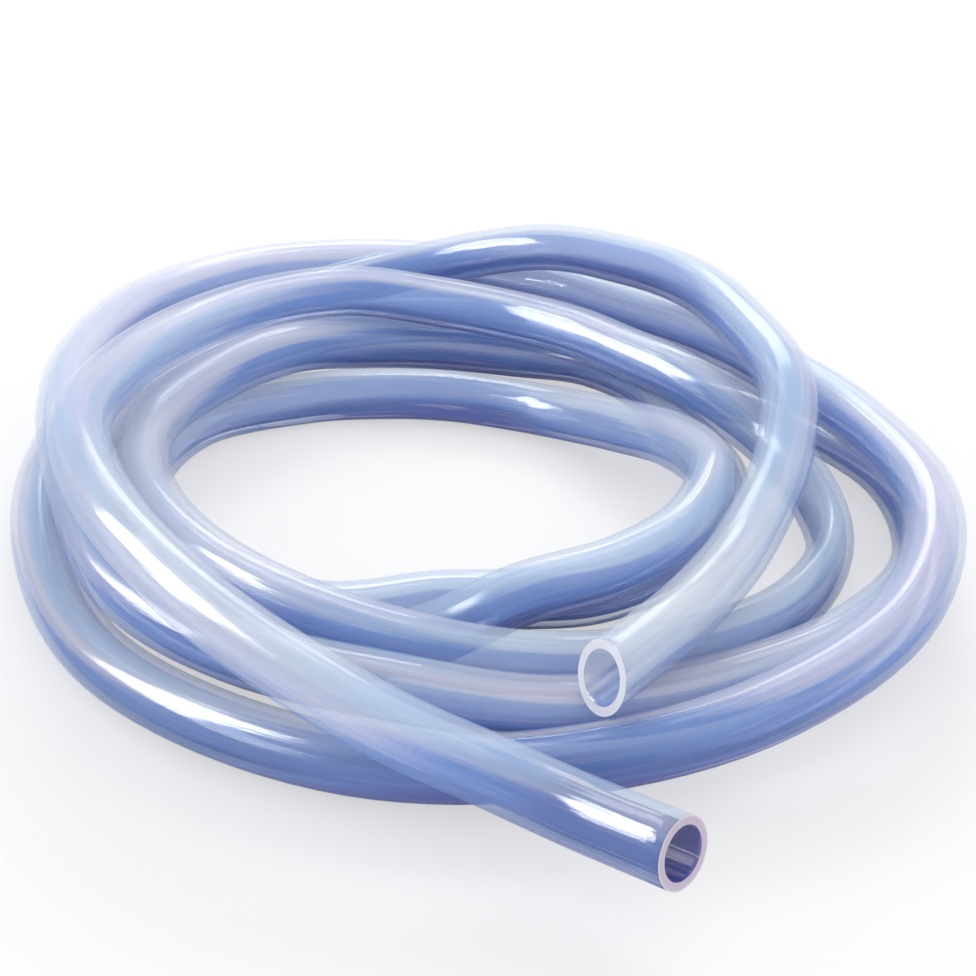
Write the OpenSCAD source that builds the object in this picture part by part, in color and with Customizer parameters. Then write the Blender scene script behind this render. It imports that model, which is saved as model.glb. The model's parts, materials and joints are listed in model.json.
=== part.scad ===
// A length of silicone tubing, laid down in a loose coil of nearly six turns.
// One hollow piece in millimetres, +Z up, resting on the floor at z = 0.
// The wall is swept along the coil, and each end is a straight sleeve with a true round bore, cut
// off a little on the skew.

/* [Tube] */
// Outside diameter
tube_od = 12; // [11:0.1:12]
// Bore diameter
tube_id = 9; // [6:0.1:9.5]
// Straight length at each cut end
end_length = 15; // [12:1:18]
// Lean of the knife's cut at the free end
skew_a = 9; // [1:1:30]
// Bearing of that lean, from straight up towards the right of the way out
bearing_a = 42; // [0:1:90]
// Lean of the cut at the end that lies on the coil
skew_b = 25; // [1:1:30]
// Bearing of that lean
bearing_b = 31; // [0:1:90]

/* [Detail] */
// Flats around the swept wall
wall_sides = 12; // [12:2:16]
// Largest turn in one stretch between two rings of the sweep
ring_turn = 16; // [16:1:20]

/* [Hidden] */

// The coil winds clockwise about its eye. A station every 20 degrees gives the centreline's
// distance from the eye and its height, one row for each turn.
eye = [-3, 16];
first_angle = -100;
angle_step = -20;

radii = [
    [96, 88.5, 84.5, 80.5, 73.5, 69, 66, 61, 54, 49.5, 46, 45.5, 51, 66, 77.2, 77, 69.7, 66.5],
    [68, 69.5, 70, 70, 68.5, 62, 56.5, 56, 56, 55, 53.5, 51.5, 50, 53.5, 53.5, 50.5, 47.5, 43.5],
    [44, 54, 62.5, 68, 72.5, 67, 52.5, 40.5, 34.5, 31.5, 31, 31.5, 34.5, 43, 51.5, 55, 55, 53],
    [57.5, 69.5, 76, 80, 82.5, 82, 80.5, 78.5, 75, 70.5, 66, 65, 76.5, 90, 95.5, 91, 82.4, 79],
    [80.5, 83, 84.5, 83, 86, 94, 105.5, 111.5, 107.5, 95.5, 81, 71, 72, 82.3, 95.5, 100.6, 97.8, 92],
    [91.5, 91.5, 92, 91.5, 93, 94.5, 96, 96.5, 95, 89, 75, 67.5, 64, 65.5, 65.5, 67.5]
];

heights = [
    [23, 30, 35.5, 36.5, 33, 29.5, 26.5, 24.5, 21.5, 20, 20.5, 20.5, 19.6, 12.7, 7.8, 7.3, 6.8, 9],
    [15, 19.5, 21, 21, 20, 19, 18, 12.5, 8.5, 7, 9, 9.5, 6.5, 6, 6, 6, 6, 6],
    [6, 6, 6, 6, 6, 6.5, 6, 6.5, 6.5, 6.5, 7, 9, 12, 15.5, 19, 18.5, 17.5, 14.5],
    [7.5, 6, 7.5, 11.5, 13, 9.5, 6.5, 6, 6, 6, 6, 6, 6.5, 7, 7.5, 9, 7.5, 9],
    [15.5, 17.5, 18.5, 23.5, 25, 21, 15, 9.5, 6.5, 6.5, 10, 17, 19.5, 20, 20.5, 18.5, 14, 8.5],
    [7.5, 7.5, 6.5, 6.5, 6.5, 6.5, 6.5, 6.5, 11, 19.5, 26.5, 30.5, 31, 29.5, 24.5, 20]
];

// Points that lead the curve into the two ends. The outermost of each only steers it.
tail_a = [[27.3, -105.7, 21.6], [17.3, -95.7, 16.6], [2, -87, 17.5]];
tail_b = [[38.5, -43.5, 19.5], [29.5, -55, 20], [18, -65.5, 19]];

// In a tight bend the soft wall goes oval: the place in stations from the first, and the share by
// which it is narrower from side to side and taller. It fades in and out over so many stations.
ovals = [[14.3, 0.22], [50, 0.12]];
oval_spread = 1.9;

// The swept wall sits this much inside the sleeves' wall, and runs this far into them.
inset = 0.03;
overlap = 1.5;

function station(turn, k) =
    let (a = first_angle + angle_step * (18 * turn + k), r = radii[turn][k])
    [eye.x + r * cos(a), eye.y + r * sin(a), heights[turn][k]];

controls = concat(
    tail_a,
    [for (turn = [0 : len(radii) - 1]) for (k = [0 : len(radii[turn]) - 1]) station(turn, k)],
    tail_b
);
spans = [1 : len(controls) - 3];

function unit(v) = v / norm(v);

// Catmull-Rom curve through the controls, and its direction, at t along span i.
function curve(i, t) =
    let (a = controls[i - 1], b = controls[i], c = controls[i + 1], d = controls[i + 2])
    0.5 * (2 * b + (c - a) * t + (2 * a - 5 * b + 4 * c - d) * t * t
        + (3 * b - a - 3 * c + d) * t * t * t);

function heading(i, t) =
    let (a = controls[i - 1], b = controls[i], c = controls[i + 1], d = controls[i + 2])
    unit((c - a) + 2 * (2 * a - 5 * b + 4 * c - d) * t + 3 * (3 * b - a - 3 * c + d) * t * t);

function bump(x) = abs(x) < 1 ? (1 + cos(180 * x)) / 2 : 0;
function oval(i, t) = max([for (o = ovals) o[1] * bump((i - len(tail_a) + t - o[0]) / oval_spread)]);

function angle_between(u, v) = acos(min(1, u * v));

// Two rings in an easy span, up to four in a tight one.
function steps(i) =
    let (turn = angle_between(heading(i, 0), heading(i, 0.5))
        + angle_between(heading(i, 0.5), heading(i, 1)))
    max(2, min(4, ceil(turn / ring_turn)));

last_span = len(controls) - 3;
start = [curve(1, 0), heading(1, 0)];
finish = [curve(last_span, 1), heading(last_span, 1)];

// Every ring is a centre, a direction and an oval share. The first and the last lie in the sleeves.
rings = concat(
    [[start[0] - overlap * start[1], start[1], 0]],
    [for (i = spans) for (k = [0 : steps(i) - 1]) let (t = k / steps(i))
        [curve(i, t), heading(i, t), oval(i, t)]],
    [[finish[0], finish[1], 0]],
    [[finish[0] + overlap * finish[1], finish[1], 0]]
);

function circle_points(ring, r) =
    let (side = unit(cross(ring[1], [0, 0, 1])), up = cross(side, ring[1]), q = tube_od / 2 * ring[2])
    [for (k = [0 : wall_sides - 1]) let (a = (k + 0.5) * 360 / wall_sides)
        ring[0] + (r - q) * cos(a) * side + (r + q) * sin(a) * up];

outer_r = tube_od / 2 - inset;
inner_r = (tube_id / 2 + inset) / cos(180 / wall_sides);
skin = [for (ring = rings) each circle_points(ring, outer_r)];
bore = [for (ring = rings) each circle_points(ring, inner_r)];

// Centre of each mouth and the direction out of it.
mouth_a = [start[0] - end_length * start[1], -start[1]];
mouth_b = [finish[0] + end_length * finish[1], finish[1]];

// How far a skew cut runs before and behind the mouth's centre.
function reach(skew) = tube_od / 2 * tan(skew);

// Reach of a mouth's rim along each axis.
function rim(mouth) = [for (k = [0 : 2]) tube_od / 2 * sqrt(1 - mouth[1][k] * mouth[1][k])];

bounds = concat(skin, [for (m = [mouth_a, mouth_b]) each [m[0] - rim(m), m[0] + rim(m)]]);
low = [for (k = [0 : 2]) min([for (p = bounds) p[k]])];
high = [for (k = [0 : 2]) max([for (p = bounds) p[k]])];

// Puts its children on a mouth, with +Z out of it and +Y as near to straight up as that allows.
module on_mouth(mouth) {
    translate(mouth[0])
        rotate([0, acos(mouth[1].z), atan2(mouth[1].y, mouth[1].x)])
            rotate([0, 0, 90])
                children();
}

// Straight round sleeve with a round bore, along Z from one height to another.
module sleeve(from, to) {
    translate([0, 0, from])
        difference() {
            cylinder(h = to - from, r = tube_od / 2, $fn = 96);
            translate([0, 0, -1])
                cylinder(h = to - from + 2, r = tube_id / 2, $fn = 96);
        }
}

// The last stretch past a sleeve, cut off on the skew.
module skew_tip(skew, bearing) {
    past = reach(skew);
    difference() {
        translate([0, 0, -past - overlap])
            difference() {
                cylinder(h = 2 * past + overlap, r = outer_r, $fn = wall_sides);
                translate([0, 0, -1])
                    cylinder(h = 2 * past + overlap + 2, r = inner_r, $fn = wall_sides);
            }
        rotate([0, 0, bearing])
            rotate([-skew, 0, 0])
                translate([-tube_od, -tube_od, 0])
                    cube([2 * tube_od, 2 * tube_od, 2 * tube_od]);
    }
}

// Hollow wall swept through every ring.
module swept_wall() {
    n = wall_sides;
    last = len(rings) - 1;
    inner = len(skin);
    walls = [for (j = [0 : last - 1]) for (k = [0 : n - 1])
        let (a = j * n + k, b = j * n + (k + 1) % n)
        each [[a, b, b + n, a + n], [inner + a, inner + a + n, inner + b + n, inner + b]]];
    caps = [for (k = [0 : n - 1])
        let (a = k, b = (k + 1) % n, c = last * n + k, d = last * n + (k + 1) % n)
        each [[a, inner + a, inner + b, b], [c, d, inner + d, inner + c]]];
    polyhedron(points = concat(skin, bore), faces = concat(walls, caps), convexity = 20);
}

module tube() {
    color([0.82, 0.87, 0.96])
        translate([-(low.x + high.x) / 2, -(low.y + high.y) / 2, -low.z])
            union() {
                swept_wall();
                on_mouth(mouth_a) {
                    sleeve(-end_length, -reach(skew_a));
                    skew_tip(skew_a, bearing_a);
                }
                on_mouth(mouth_b) {
                    sleeve(-end_length, -reach(skew_b));
                    skew_tip(skew_b, bearing_b);
                }
            }
}

tube();
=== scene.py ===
"""Silicone tubing in a loose coil: the hollow tube, its translucent finish with painted light and
shade, and a small studio.
"""

import json
from math import cos, pi, radians, sin

import bmesh
import bpy
from bpy.props import FloatProperty, FloatVectorProperty, IntProperty, PointerProperty
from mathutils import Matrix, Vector


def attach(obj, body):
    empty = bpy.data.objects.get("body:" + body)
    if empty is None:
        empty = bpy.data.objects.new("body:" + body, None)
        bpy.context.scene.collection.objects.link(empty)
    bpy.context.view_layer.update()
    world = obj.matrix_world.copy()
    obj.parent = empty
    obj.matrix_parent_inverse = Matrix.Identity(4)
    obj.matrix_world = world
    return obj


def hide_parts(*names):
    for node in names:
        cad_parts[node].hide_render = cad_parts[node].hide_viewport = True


bl_info = {
    "name": "Silicone Tubing Coil",
    "version": (1, 0, 0),
    "blender": (4, 5, 0),
    "location": "View3D > Sidebar > Tubing",
    "description": "Builds a loose coil of translucent silicone tubing and the studio it stands in",
    "category": "Object",
}

MM = 0.001

# Painted light and shade: the silicone is painted palest where it faces this way, high and towards
# the softbox, and deepest blue where it faces the other way.
PAINTED_LIGHT_FROM = Vector((0, 0.5, 0.866))

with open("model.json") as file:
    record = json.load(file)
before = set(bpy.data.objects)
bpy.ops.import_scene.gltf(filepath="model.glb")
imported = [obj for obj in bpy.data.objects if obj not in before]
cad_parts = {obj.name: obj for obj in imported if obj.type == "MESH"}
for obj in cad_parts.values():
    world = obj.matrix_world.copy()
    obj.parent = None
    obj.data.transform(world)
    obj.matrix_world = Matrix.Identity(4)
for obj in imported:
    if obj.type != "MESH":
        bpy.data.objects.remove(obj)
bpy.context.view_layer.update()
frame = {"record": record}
MOUNTS = {m["name"]: m for m in frame["record"]["mounts"]}

# The centreline's distance from the coil's eye and its height in millimetres, at a station
# every 20 degrees clockwise from the front, one row for each turn. The CAD solid follows the same.
EYE = (-3, 16)
FIRST_ANGLE = -100
ANGLE_STEP = -20
RADII = [
    [96, 88.5, 84.5, 80.5, 73.5, 69, 66, 61, 54, 49.5, 46, 45.5, 51, 66, 77.2, 77, 69.7, 66.5],
    [68, 69.5, 70, 70, 68.5, 62, 56.5, 56, 56, 55, 53.5, 51.5, 50, 53.5, 53.5, 50.5, 47.5, 43.5],
    [44, 54, 62.5, 68, 72.5, 67, 52.5, 40.5, 34.5, 31.5, 31, 31.5, 34.5, 43, 51.5, 55, 55, 53],
    [57.5, 69.5, 76, 80, 82.5, 82, 80.5, 78.5, 75, 70.5, 66, 65, 76.5, 90, 95.5, 91, 82.4, 79],
    [80.5, 83, 84.5, 83, 86, 94, 105.5, 111.5, 107.5, 95.5, 81, 71, 72, 82.3, 95.5, 100.6, 97.8, 92],
    [91.5, 91.5, 92, 91.5, 93, 94.5, 96, 96.5, 95, 89, 75, 67.5, 64, 65.5, 65.5, 67.5],
]
HEIGHTS = [
    [23, 30, 35.5, 36.5, 33, 29.5, 26.5, 24.5, 21.5, 20, 20.5, 20.5, 19.6, 12.7, 7.8, 7.3, 6.8, 9],
    [15, 19.5, 21, 21, 20, 19, 18, 12.5, 8.5, 7, 9, 9.5, 6.5, 6, 6, 6, 6, 6],
    [6, 6, 6, 6, 6, 6.5, 6, 6.5, 6.5, 6.5, 7, 9, 12, 15.5, 19, 18.5, 17.5, 14.5],
    [7.5, 6, 7.5, 11.5, 13, 9.5, 6.5, 6, 6, 6, 6, 6, 6.5, 7, 7.5, 9, 7.5, 9],
    [15.5, 17.5, 18.5, 23.5, 25, 21, 15, 9.5, 6.5, 6.5, 10, 17, 19.5, 20, 20.5, 18.5, 14, 8.5],
    [7.5, 7.5, 6.5, 6.5, 6.5, 6.5, 6.5, 6.5, 11, 19.5, 26.5, 30.5, 31, 29.5, 24.5, 20],
]
TAIL_A = [(27.3, -105.7, 21.6), (17.3, -95.7, 16.6), (2, -87, 17.5)]
TAIL_B = [(38.5, -43.5, 19.5), (29.5, -55, 20), (18, -65.5, 19)]

# In a tight bend the soft wall goes oval, narrower from side to side and taller: the place in
# stations from the first, and the share. It fades in and out over OVAL_SPREAD stations.
OVALS = [(14.3, 0.22), (50, 0.12)]
OVAL_SPREAD = 1.9

# Where the silicone is painted lighter, with painted highlight, above nought, or painted in shade,
# clearer and deeper
# blue, below: the place in stations from the first, how far it spreads either way, and how much.
PAINTED_LIGHT_SHIFTS = [
    (-2, 2.5, -0.25), (1.2, 3.6, 0.8), (5, 2.6, 0.45), (8.5, 2.5, -0.1), (13, 3, 0.15),
    (17, 2, -0.1), (21.2, 2.6, 0.7), (26.3, 3, -0.4), (31, 2.5, 0.4), (35, 2, -0.15),
    (39.5, 2.4, 0.5), (44.2, 3.2, -0.6), (50, 2.4, 0.5), (53, 1.5, -0.2), (55.3, 2.2, -0.9),
    (58.7, 2.4, 0.7), (63, 3, -0.1), (68, 2, -0.15), (76, 3, 0.4), (82, 3, -0.15),
    (89.4, 2.4, -0.75), (93.8, 2.6, 0.15), (97, 2.2, -0.3), (100, 2.4, -0.25), (106, 3.8, 0.8),
]
# The same of the bore, over and above the skin's: painted shade deep inside the free end, painted light
# inside the other. The whole bore has a little painted shade besides.
BORE_PAINTED_SHIFTS = [(-2.5, 2.5, -1.6), (107, 2.5, 0.45)]
BORE_PAINTED_SHADE = -0.2

# Rings in each straight end, and rings counted from an end that its knife may reach.
END_RINGS = 4
KNIFE_RINGS = 8
# How far the knife reaches from the middle of a mouth, in radii. The other end lies not far off, so
# a longer reach would cut into it.
KNIFE_REACH = 2.5
SEAM_GAP = 1e-7
KNIFE_GAP = 1e-8

SILICONE_IOR = 1.41
SILICONE_ROUGHNESS = 0.12
CLEAREST_ALPHA = 0.36
CUT_ROUGHNESS = 0.3

FLOOR_SIZE = 12
# Share of the floor's own colour that the camera sees with no shadow on it.
FLOOR_GLOW = 0.6
# Where each lamp hangs and how wide and high it is.
SOFTBOX_AT, SOFTBOX_SIZE = (0, 0.8, 0.7), (0.5, 0.3)
WINDOW_AT, WINDOW_SIZE = (-0.71, -0.11, 0.7), (0.5, 0.7)
CAMERA_AT = (0.003505, -0.278122, 0.195304)
CAMERA_TILT = radians(56)
CAMERA_LENS = 57.96
CAMERA_SENSOR = 36


def hump(x):
    """Rises softly from 0 at -1 to 1 at 0, and falls back to 0 at 1."""
    return (1 + cos(pi * x)) / 2 if abs(x) < 1 else 0


def painted_light_shift(place, tints):
    """How much painted light, above nought, or painted shade, below, the silicone has at a place along
    the coil.
    """
    return sum(shift * hump((place - at) / spread) for at, spread, shift in tints)


def oval(place):
    """Share by which the tube is oval at a place along the coil, in stations from the first."""
    return max(share * hump((place - at) / OVAL_SPREAD) for at, share in OVALS)


def stations():
    """Points that the centreline passes, with the two tails, in millimetres about the eye."""
    points = [Vector(p) for p in TAIL_A]
    for turn, (radii, heights) in enumerate(zip(RADII, HEIGHTS)):
        for k, (r, z) in enumerate(zip(radii, heights)):
            a = radians(FIRST_ANGLE + ANGLE_STEP * (18 * turn + k))
            points.append(Vector((EYE[0] + r * cos(a), EYE[1] + r * sin(a), z)))
    return points + [Vector(p) for p in TAIL_B]


def centreline(end_length, rings_per_step):
    """The tube's centreline in metres, mouth to mouth, with its direction, oval share and shifts of
    painted light and shade.
    """
    p = stations()
    line = []
    for i in range(1, len(p) - 2):
        a, b, c, d = p[i - 1 : i + 3]
        for k in range(rings_per_step + (i == len(p) - 3)):
            t = k / rings_per_step
            at = 0.5 * (2 * b + (c - a) * t + (2 * a - 5 * b + 4 * c - d) * t**2
                        + (3 * b - a - 3 * c + d) * t**3)
            to = (c - a) + 2 * (2 * a - 5 * b + 4 * c - d) * t + 3 * (3 * b - a - 3 * c + d) * t**2
            place = i - len(TAIL_A) + t
            # The skin's and the bore's shift of painted light and shade at this place.
            skin = painted_light_shift(place, PAINTED_LIGHT_SHIFTS)
            inside = skin + BORE_PAINTED_SHADE + painted_light_shift(place, BORE_PAINTED_SHIFTS)
            line.append((at * MM, to.normalized(), oval(place), skin, inside))
    (first, out_a, *look_a), (last, out_b, *look_b) = line[0], line[-1]
    n = END_RINGS
    lead = [(first - out_a * end_length * (1 - k / n), out_a, *look_a) for k in range(n)]
    tail = [(last + out_b * end_length * k / n, out_b, *look_b) for k in range(1, n + 1)]
    # The true bore at the first end runs from the sleeve's inner end to its mount.
    bore = MOUNTS["bore_a"]
    depth = bore["dims"]["length_mm"] * MM
    start = Vector(bore["pos_m"]) - Vector(bore["axis"]).normalized() * depth
    return [(at + start - first, *rest) for at, *rest in lead + line + tail]


def new_object(name, bm):
    """A mesh object at the origin, made from bm."""
    mesh = bpy.data.meshes.new(name)
    bm.to_mesh(mesh)
    bm.free()
    for face in mesh.polygons:
        face.use_smooth = face.material_index == 0
    piece = bpy.data.objects.new(name, mesh)
    bpy.context.scene.collection.objects.link(piece)
    return piece


def rolled_wall(bm, line, radius, oval_by, sides, facing_in=False):
    """A flat grid rolled into a tube: x runs along it and y around it, with the top at a quarter."""
    last = len(line) - 1
    rings_in = bm.verts.layers.int["rings_in"]
    light_facing = bm.verts.layers.float["light_facing"]
    shift_layer = bm.verts.layers.float["painted_light_shift"]
    made = bmesh.ops.create_grid(bm, x_segments=last, y_segments=sides, size=0.5, calc_uvs=True)
    verts = made["verts"]
    faces = list({face for v in verts for face in v.link_faces})
    for v in verts:
        ring = round((v.co.x + 0.5) * last)
        v[rings_in] = min(ring, last - ring)
        at, to, share, skin, inside = line[ring]
        a = (v.co.y + 0.5) * 2 * pi
        side = to.cross(Vector((0, 0, 1))).normalized()
        up = side.cross(to)
        narrow = oval_by * share
        v.co = at + (radius - narrow) * cos(a) * side + (radius + narrow) * sin(a) * up
        # How far each point faces the painted light, and the shift of its painted light and shade.
        v[light_facing] = (cos(a) * side + sin(a) * up).dot(PAINTED_LIGHT_FROM)
        v[shift_layer] = inside if facing_in else skin
    seam = [v for v in verts if v.is_boundary]
    bmesh.ops.remove_doubles(bm, verts=seam, dist=SEAM_GAP)
    bmesh.ops.recalc_face_normals(bm, faces=faces)
    if facing_in:
        bmesh.ops.reverse_faces(bm, faces=faces)


def cut_end(bm, mouth, out, reach):
    """Cut both walls through at a mouth, across the way out, and close the ring between them."""
    rings_in = bm.verts.layers.int["rings_in"]
    near = [
        f for f in bm.faces
        if all(v[rings_in] < KNIFE_RINGS for v in f.verts)
        and (f.calc_center_median() - mouth).length < reach
    ]
    geom = near + list({e for f in near for e in f.edges}) + list({v for f in near for v in f.verts})
    cut = bmesh.ops.bisect_plane(
        bm, geom=geom, dist=KNIFE_GAP, plane_co=mouth, plane_no=out, clear_outer=True,
    )
    rims = [e for e in cut["geom_cut"] if isinstance(e, bmesh.types.BMEdge)]
    ring = bmesh.ops.bridge_loops(bm, edges=rims)
    for face in ring["faces"]:
        face.material_index = 1
        face.smooth = False


def silicone(lit_crown, lit_haze, shaded_belly, deep, hollow, painted_highlight, blush):
    """Clear silicone, with painted light and shade: painted light in pale or hazy blue where it faces
    high and towards the softbox, painted shade in deeper blue underneath and inside the free end,
    painted highlights in cream, and a warm blush here and there below. Fine lines drawn along the skin
    break up its gloss."""
    mat = bpy.data.materials.new("Translucent silicone")
    mat.use_nodes = True
    nodes, links = mat.node_tree.nodes, mat.node_tree.links
    skin = nodes["Principled BSDF"]
    uv = nodes.new("ShaderNodeUVMap")
    split = nodes.new("ShaderNodeSeparateXYZ")
    links.new(uv.outputs[0], split.inputs[0])

    def attribute(name):
        node = nodes.new("ShaderNodeAttribute")
        node.attribute_name = name
        return node.outputs["Fac"]

    def math(operation, a, b=None):
        node = nodes.new("ShaderNodeMath")
        node.operation = operation
        for socket, value in zip(node.inputs, (a, b)):
            if isinstance(value, bpy.types.NodeSocket):
                links.new(value, socket)
            elif value is not None:
                socket.default_value = value
        return node.outputs[0]

    angle = math("MULTIPLY", split.outputs["Y"], 2 * pi)
    across, height = math("COSINE", angle), math("SINE", angle)

    def streaks(around, along, detail):
        """Noise drawn out along the tube, from -0.5 to 0.5."""
        place = nodes.new("ShaderNodeCombineXYZ")
        links.new(math("MULTIPLY", across, around), place.inputs[0])
        links.new(math("MULTIPLY", height, around), place.inputs[1])
        links.new(math("MULTIPLY", split.outputs["X"], along), place.inputs[2])
        noise = nodes.new("ShaderNodeTexNoise")
        noise.inputs["Scale"].default_value = 1.0
        noise.inputs["Detail"].default_value = detail
        links.new(place.outputs[0], noise.inputs["Vector"])
        return math("SUBTRACT", noise.outputs["Fac"], 0.5)

    def between(value, low, high):
        """Soft step of a value, from 0 at low to 1 at high."""
        step = nodes.new("ShaderNodeMapRange")
        step.interpolation_type = "SMOOTHSTEP"
        step.inputs["From Min"].default_value = low
        step.inputs["From Max"].default_value = high
        links.new(value, step.inputs["Value"])
        return step.outputs[0]

    def blend(part, a, b):
        mix = nodes.new("ShaderNodeMix")
        mix.data_type = "RGBA"
        links.new(part, mix.inputs["Factor"])
        for name, value in (("A", a), ("B", b)):
            if isinstance(value, bpy.types.NodeSocket):
                links.new(value, mix.inputs[name])
            else:
                mix.inputs[name].default_value = (*value, 1)
        return mix.outputs["Result"]

    # Painted light and shade: how far a point faces the painted light, shifted along the tube.
    light, shift_amount = attribute("light_facing"), attribute("painted_light_shift")
    shade = math("ADD", light, shift_amount)
    wander = math("ADD", shade, math("MULTIPLY", streaks(2.5, 40, 3), 1.5))
    # Painted light on the top, pale or hazy blue in long patches.
    top = blend(between(streaks(0.6, 22, 2), -0.14, 0.04), lit_crown, lit_haze)
    # Painted highlight in cream where the painted light is shifted up, and in fine streaks along the
    # top.
    top = blend(math("MULTIPLY", between(shift_amount, 0.3, 0.9), 0.6), top, painted_highlight)
    fine = streaks(5, 48, 1)
    top = blend(math("MULTIPLY", between(fine, 0.02, 0.14), 0.4), top, painted_highlight)
    # Painted shade underneath in the belly colour, and in deeper blue further round.
    body = blend(between(wander, 0.05, 0.45), shaded_belly, top)
    body = blend(between(wander, -0.4, -1.3), body, deep)
    # Painted shade inside the free end's bore.
    body = blend(between(shift_amount, -0.9, -1.6), body, hollow)
    warm = math("MULTIPLY", between(streaks(5, 60, 2), 0.08, 0.2), between(light, 0.5, -0.2))
    body = blend(math("MULTIPLY", warm, 0.6), body, blush)
    links.new(body, skin.inputs["Base Color"])
    solid = math("MULTIPLY", between(shade, -0.5, -1.2), 0.5)
    links.new(math("ADD", solid, CLEAREST_ALPHA), skin.inputs["Alpha"])
    bump = nodes.new("ShaderNodeBump")
    bump.inputs["Strength"].default_value = 1.0
    bump.inputs["Distance"].default_value = 0.00015
    links.new(fine, bump.inputs["Height"])
    links.new(bump.outputs[0], skin.inputs["Normal"])
    skin.inputs["Roughness"].default_value = SILICONE_ROUGHNESS
    skin.inputs["IOR"].default_value = SILICONE_IOR
    skin.inputs["Specular IOR Level"].default_value = 1.0
    return mat


def cut_face(colour, shaded_cut):
    """The milky ring that a knife leaves, painted in shade and duller where the silicone behind it has
    painted shade, with the knife's fine lines across it."""
    mat = bpy.data.materials.new("Cut silicone")
    mat.use_nodes = True
    nodes, links = mat.node_tree.nodes, mat.node_tree.links
    face = nodes["Principled BSDF"]
    # The cut face's painted shade follows the tube's painted light and shade.
    shift_attribute = nodes.new("ShaderNodeAttribute")
    shift_attribute.attribute_name = "painted_light_shift"
    shift_amount = nodes.new("ShaderNodeMapRange")
    shift_amount.inputs["From Min"].default_value = -0.7
    shift_amount.inputs["From Max"].default_value = 0.4
    mix = nodes.new("ShaderNodeMix")
    mix.data_type = "RGBA"
    mix.inputs["A"].default_value = (*shaded_cut, 1)
    mix.inputs["B"].default_value = (*colour, 1)
    links.new(shift_attribute.outputs["Fac"], shift_amount.inputs["Value"])
    links.new(shift_amount.outputs[0], mix.inputs["Factor"])
    links.new(mix.outputs["Result"], face.inputs["Base Color"])
    where = nodes.new("ShaderNodeTexCoord")
    turn = nodes.new("ShaderNodeMapping")
    turn.inputs["Scale"].default_value = (300, 300, 4000)
    lines = nodes.new("ShaderNodeTexNoise")
    lines.inputs["Scale"].default_value = 1.0
    bump = nodes.new("ShaderNodeBump")
    bump.inputs["Strength"].default_value = 0.3
    bump.inputs["Distance"].default_value = 0.0001
    links.new(where.outputs["Object"], turn.inputs["Vector"])
    links.new(turn.outputs[0], lines.inputs["Vector"])
    links.new(lines.outputs["Fac"], bump.inputs["Height"])
    links.new(bump.outputs[0], face.inputs["Normal"])
    face.inputs["Roughness"].default_value = CUT_ROUGHNESS
    return mat


class TubingSettings(bpy.types.PropertyGroup):
    """Sizes and colours of the tube, its painted light and shade among them."""

    outside: FloatProperty(
        name="Outside diameter", description="Outside diameter of the tubing",
        default=0.012, min=0.006, max=0.012, unit="LENGTH",
    )
    wall: FloatProperty(
        name="Wall", description="Thickness of the tubing's wall",
        default=0.0015, min=0.0005, max=0.003, unit="LENGTH",
    )
    end_length: FloatProperty(
        name="Straight end", description="Straight length at each cut end",
        default=0.015, min=0.010, max=0.018, unit="LENGTH",
    )
    skew_a: FloatProperty(
        name="Skew, free end", description="Lean of the knife's cut at the free end",
        default=radians(9), min=0, max=radians(30), unit="ROTATION",
    )
    bearing_a: FloatProperty(
        name="Bearing, free end", description="Bearing of that lean, from straight up to the right",
        default=radians(42), min=0, max=radians(90), unit="ROTATION",
    )
    skew_b: FloatProperty(
        name="Skew, lying end", description="Lean of the cut at the end that lies on the coil",
        default=radians(25), min=0, max=radians(30), unit="ROTATION",
    )
    bearing_b: FloatProperty(
        name="Bearing, lying end", description="Bearing of that lean, from straight up to the right",
        default=radians(31), min=0, max=radians(90), unit="ROTATION",
    )
    sides: IntProperty(
        name="Sides", description="Faces around the tube", default=36, min=16, max=48,
    )
    rings: IntProperty(
        name="Rings", description="Rings in each 20 degree step of the coil", default=7, min=3, max=10,
    )
    # Painted light on the top of the tube.
    lit_crown: FloatVectorProperty(
        name="Crown", description="Colour of the silicone along the top of the tube", subtype="COLOR",
        default=(0.77, 0.78, 0.95), min=0, max=1,
    )
    # Painted light on the top, its bluer patches.
    lit_haze: FloatVectorProperty(
        name="Haze", description="Colour that the top takes on in long patches", subtype="COLOR",
        default=(0.56, 0.74, 0.95), min=0, max=1,
    )
    # Painted shade on the underside.
    shaded_belly: FloatVectorProperty(
        name="Belly", description="Colour of the silicone along the underside", subtype="COLOR",
        default=(0.23, 0.39, 0.80), min=0, max=1,
    )
    deep: FloatVectorProperty(
        name="Deep", description="Colour of the silicone where it is in its own shade", subtype="COLOR",
        default=(0.09, 0.13, 0.42), min=0, max=1,
    )
    # Painted shade inside the free end's bore.
    hollow: FloatVectorProperty(
        name="Hollow", description="Colour of the dark inside of the free end", subtype="COLOR",
        default=(0.02, 0.03, 0.30), min=0, max=1,
    )
    # Painted highlight.
    painted_highlight: FloatVectorProperty(
        name="Cream", description="Colour of the milkiest stretches", subtype="COLOR",
        default=(0.93, 0.91, 0.90), min=0, max=1,
    )
    blush: FloatVectorProperty(
        name="Blush", description="Colour of the warm streaks along the underside", subtype="COLOR",
        default=(0.50, 0.42, 0.66), min=0, max=1,
    )
    cut: FloatVectorProperty(
        name="Cut face", description="Colour of the cut ends", subtype="COLOR",
        default=(0.90, 0.90, 0.94), min=0, max=1,
    )
    # Painted shade on the cut face.
    shaded_cut: FloatVectorProperty(
        name="Dull cut face", description="Colour of a cut end where it looks deep", subtype="COLOR",
        default=(0.50, 0.42, 0.54), min=0, max=1,
    )


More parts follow.
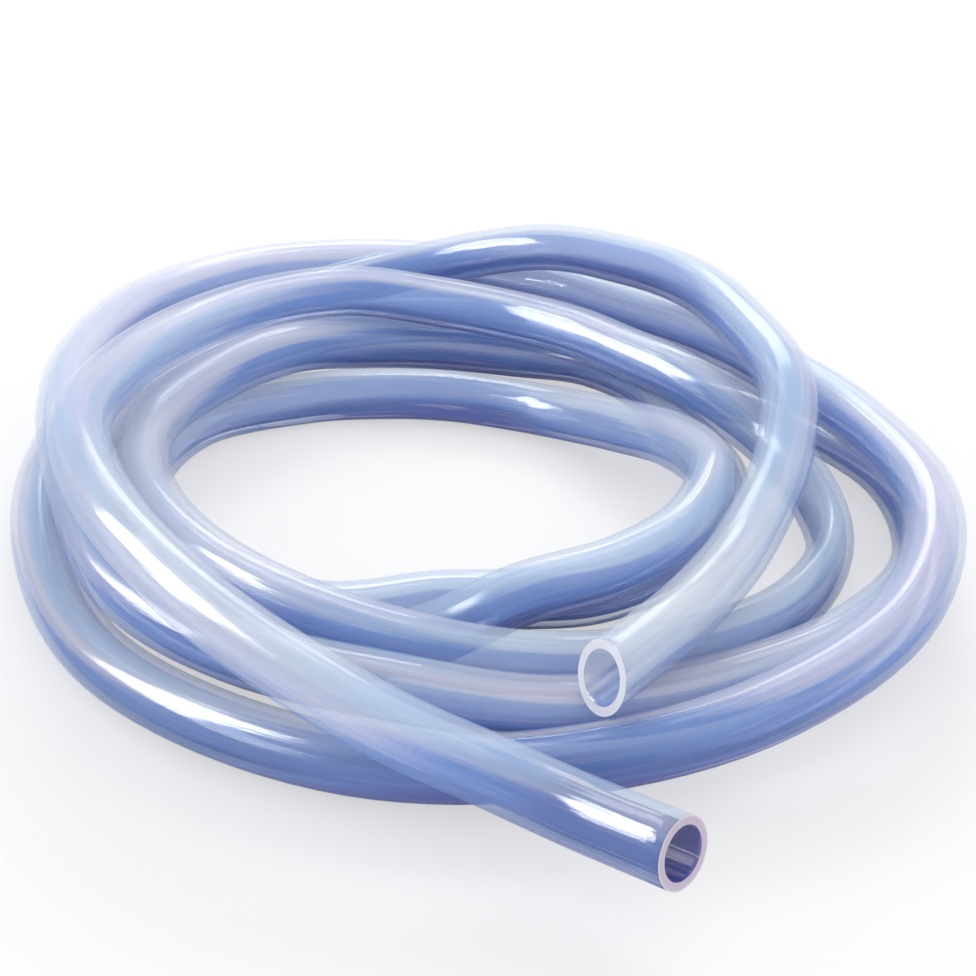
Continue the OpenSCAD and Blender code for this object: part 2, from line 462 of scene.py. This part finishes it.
class StudioSettings(bpy.types.PropertyGroup):
    """Floor, lamps and camera."""

    floor: FloatVectorProperty(
        name="Floor", description="Colour of the floor", subtype="COLOR",
        default=(0.93, 0.93, 0.93), min=0, max=1,
    )
    softbox: FloatProperty(
        name="Softbox", description="Power of the softbox behind the coil",
        default=4, min=0, max=50, unit="POWER",
    )
    window: FloatProperty(
        name="Window", description="Power of the window that the gloss shows, to the left",
        default=26, min=0, max=200, unit="POWER",
    )


class COIL_OT_tube(bpy.types.Operator):
    """Sweep the hollow tube along the coil and give it its finish"""

    bl_idname = "coil.tube"
    bl_label = "Tube"

    def execute(self, context):
        s = context.scene.tubing
        line = centreline(s.end_length, s.rings)
        radius = s.outside / 2
        (mouth_a, back_a, *look_a), (mouth_b, out_b, *look_b) = line[0], line[-1]
        # Spare length past each mouth, for the knife to take off.
        spare = radius
        rough = [
            (mouth_a - spare * back_a, back_a, *look_a), *line,
            (mouth_b + spare * out_b, out_b, *look_b),
        ]
        bm = bmesh.new()
        bm.loops.layers.uv.new("UVMap")
        bm.verts.layers.int.new("rings_in")
        for name in ("light_facing", "painted_light_shift"):
            bm.verts.layers.float.new(name)
        rolled_wall(bm, rough, radius, radius, s.sides)
        rolled_wall(bm, rough, radius - s.wall, radius, s.sides, facing_in=True)
        for mouth, out, skew, bearing in (
            (mouth_a, -back_a, s.skew_a, s.bearing_a), (mouth_b, out_b, s.skew_b, s.bearing_b),
        ):
            right = out.cross(Vector((0, 0, 1))).normalized()
            lean = cos(bearing) * right.cross(out) + sin(bearing) * right
            across = (cos(skew) * out + sin(skew) * lean).normalized()
            cut_end(bm, mouth, across, KNIFE_REACH * radius)
        piece = new_object("Tubing", bm)
        colours = (s.lit_crown, s.lit_haze, s.shaded_belly, s.deep, s.hollow, s.painted_highlight, s.blush)
        piece.data.materials.append(silicone(*colours))
        piece.data.materials.append(cut_face(s.cut, s.shaded_cut))
        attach(piece, "root")
        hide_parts("tube")
        return {"FINISHED"}


class COIL_OT_studio(bpy.types.Operator):
    """Lay the floor, hang the lamps and set up the camera"""

    bl_idname = "coil.studio"
    bl_label = "Studio"

    def execute(self, context):
        s = context.scene.studio
        bm = bmesh.new()
        bmesh.ops.create_grid(bm, x_segments=1, y_segments=1, size=FLOOR_SIZE)
        floor = new_object("Floor", bm)
        mat = bpy.data.materials.new("Pale floor")
        mat.use_nodes = True
        nodes, links = mat.node_tree.nodes, mat.node_tree.links
        nodes.clear()
        out = nodes.new("ShaderNodeOutputMaterial")
        paper = nodes.new("ShaderNodeBsdfDiffuse")
        paper.inputs["Color"].default_value = (*s.floor, 1)
        glow = nodes.new("ShaderNodeEmission")
        glow.inputs["Color"].default_value = (*s.floor, 1)
        ray = nodes.new("ShaderNodeLightPath")
        part = nodes.new("ShaderNodeMath")
        part.operation = "MULTIPLY"
        part.inputs[1].default_value = FLOOR_GLOW
        mix = nodes.new("ShaderNodeMixShader")
        links.new(ray.outputs["Is Camera Ray"], part.inputs[0])
        links.new(part.outputs[0], mix.inputs[0])
        links.new(paper.outputs[0], mix.inputs[1])
        links.new(glow.outputs[0], mix.inputs[2])
        links.new(mix.outputs[0], out.inputs["Surface"])
        floor.data.materials.append(mat)

        world = bpy.data.worlds.new("Studio")
        context.scene.world = world
        world.use_nodes = True
        world.node_tree.nodes["Background"].inputs["Color"].default_value = (1, 1, 1, 1)
        world.node_tree.nodes["Background"].inputs["Strength"].default_value = 1.0

        # The window is kept out of diffuse light, so it shows in the gloss and lights nothing.
        for name, at, size, power, lighting in (
            ("Softbox", SOFTBOX_AT, SOFTBOX_SIZE, s.softbox, True),
            ("Window", WINDOW_AT, WINDOW_SIZE, s.window, False),
        ):
            lamp = bpy.data.lights.new(name, "AREA")
            lamp.shape = "RECTANGLE"
            lamp.size, lamp.size_y = size
            lamp.energy = power
            box = bpy.data.objects.new(name, lamp)
            box.location = at
            box.rotation_euler = (-box.location).to_track_quat("-Z", "Y").to_euler()
            box.visible_camera = False
            box.visible_diffuse = lighting
            context.scene.collection.objects.link(box)

        lens = bpy.data.cameras.new("Camera")
        lens.lens = CAMERA_LENS
        lens.sensor_width = CAMERA_SENSOR
        camera = bpy.data.objects.new("Camera", lens)
        camera.location = CAMERA_AT
        camera.rotation_euler = (CAMERA_TILT, 0, 0)
        context.scene.collection.objects.link(camera)
        context.scene.camera = camera
        context.scene.view_settings.view_transform = "Standard"
        return {"FINISHED"}


class COIL_PT_panel(bpy.types.Panel):
    """Settings and steps of the tubing coil"""

    bl_idname = "COIL_PT_panel"
    bl_label = "Tubing Coil"
    bl_space_type = "VIEW_3D"
    bl_region_type = "UI"
    bl_category = "Tubing"

    def draw(self, context):
        for settings, steps in ((context.scene.tubing, ["coil.tube"]),
                                (context.scene.studio, ["coil.studio"])):
            box = self.layout.box()
            for key in settings.__annotations__:
                box.prop(settings, key)
            for step in steps:
                box.operator(step)


CLASSES = (TubingSettings, StudioSettings, COIL_OT_tube, COIL_OT_studio, COIL_PT_panel)


def register():
    for cls in CLASSES:
        bpy.utils.register_class(cls)
    bpy.types.Scene.tubing = PointerProperty(type=TubingSettings)
    bpy.types.Scene.studio = PointerProperty(type=StudioSettings)


def unregister():
    del bpy.types.Scene.studio
    del bpy.types.Scene.tubing
    for cls in reversed(CLASSES):
        bpy.utils.unregister_class(cls)


def main():
    register()
    bpy.ops.coil.tube()
    bpy.ops.coil.studio()


if __name__ == "__main__":
    main()
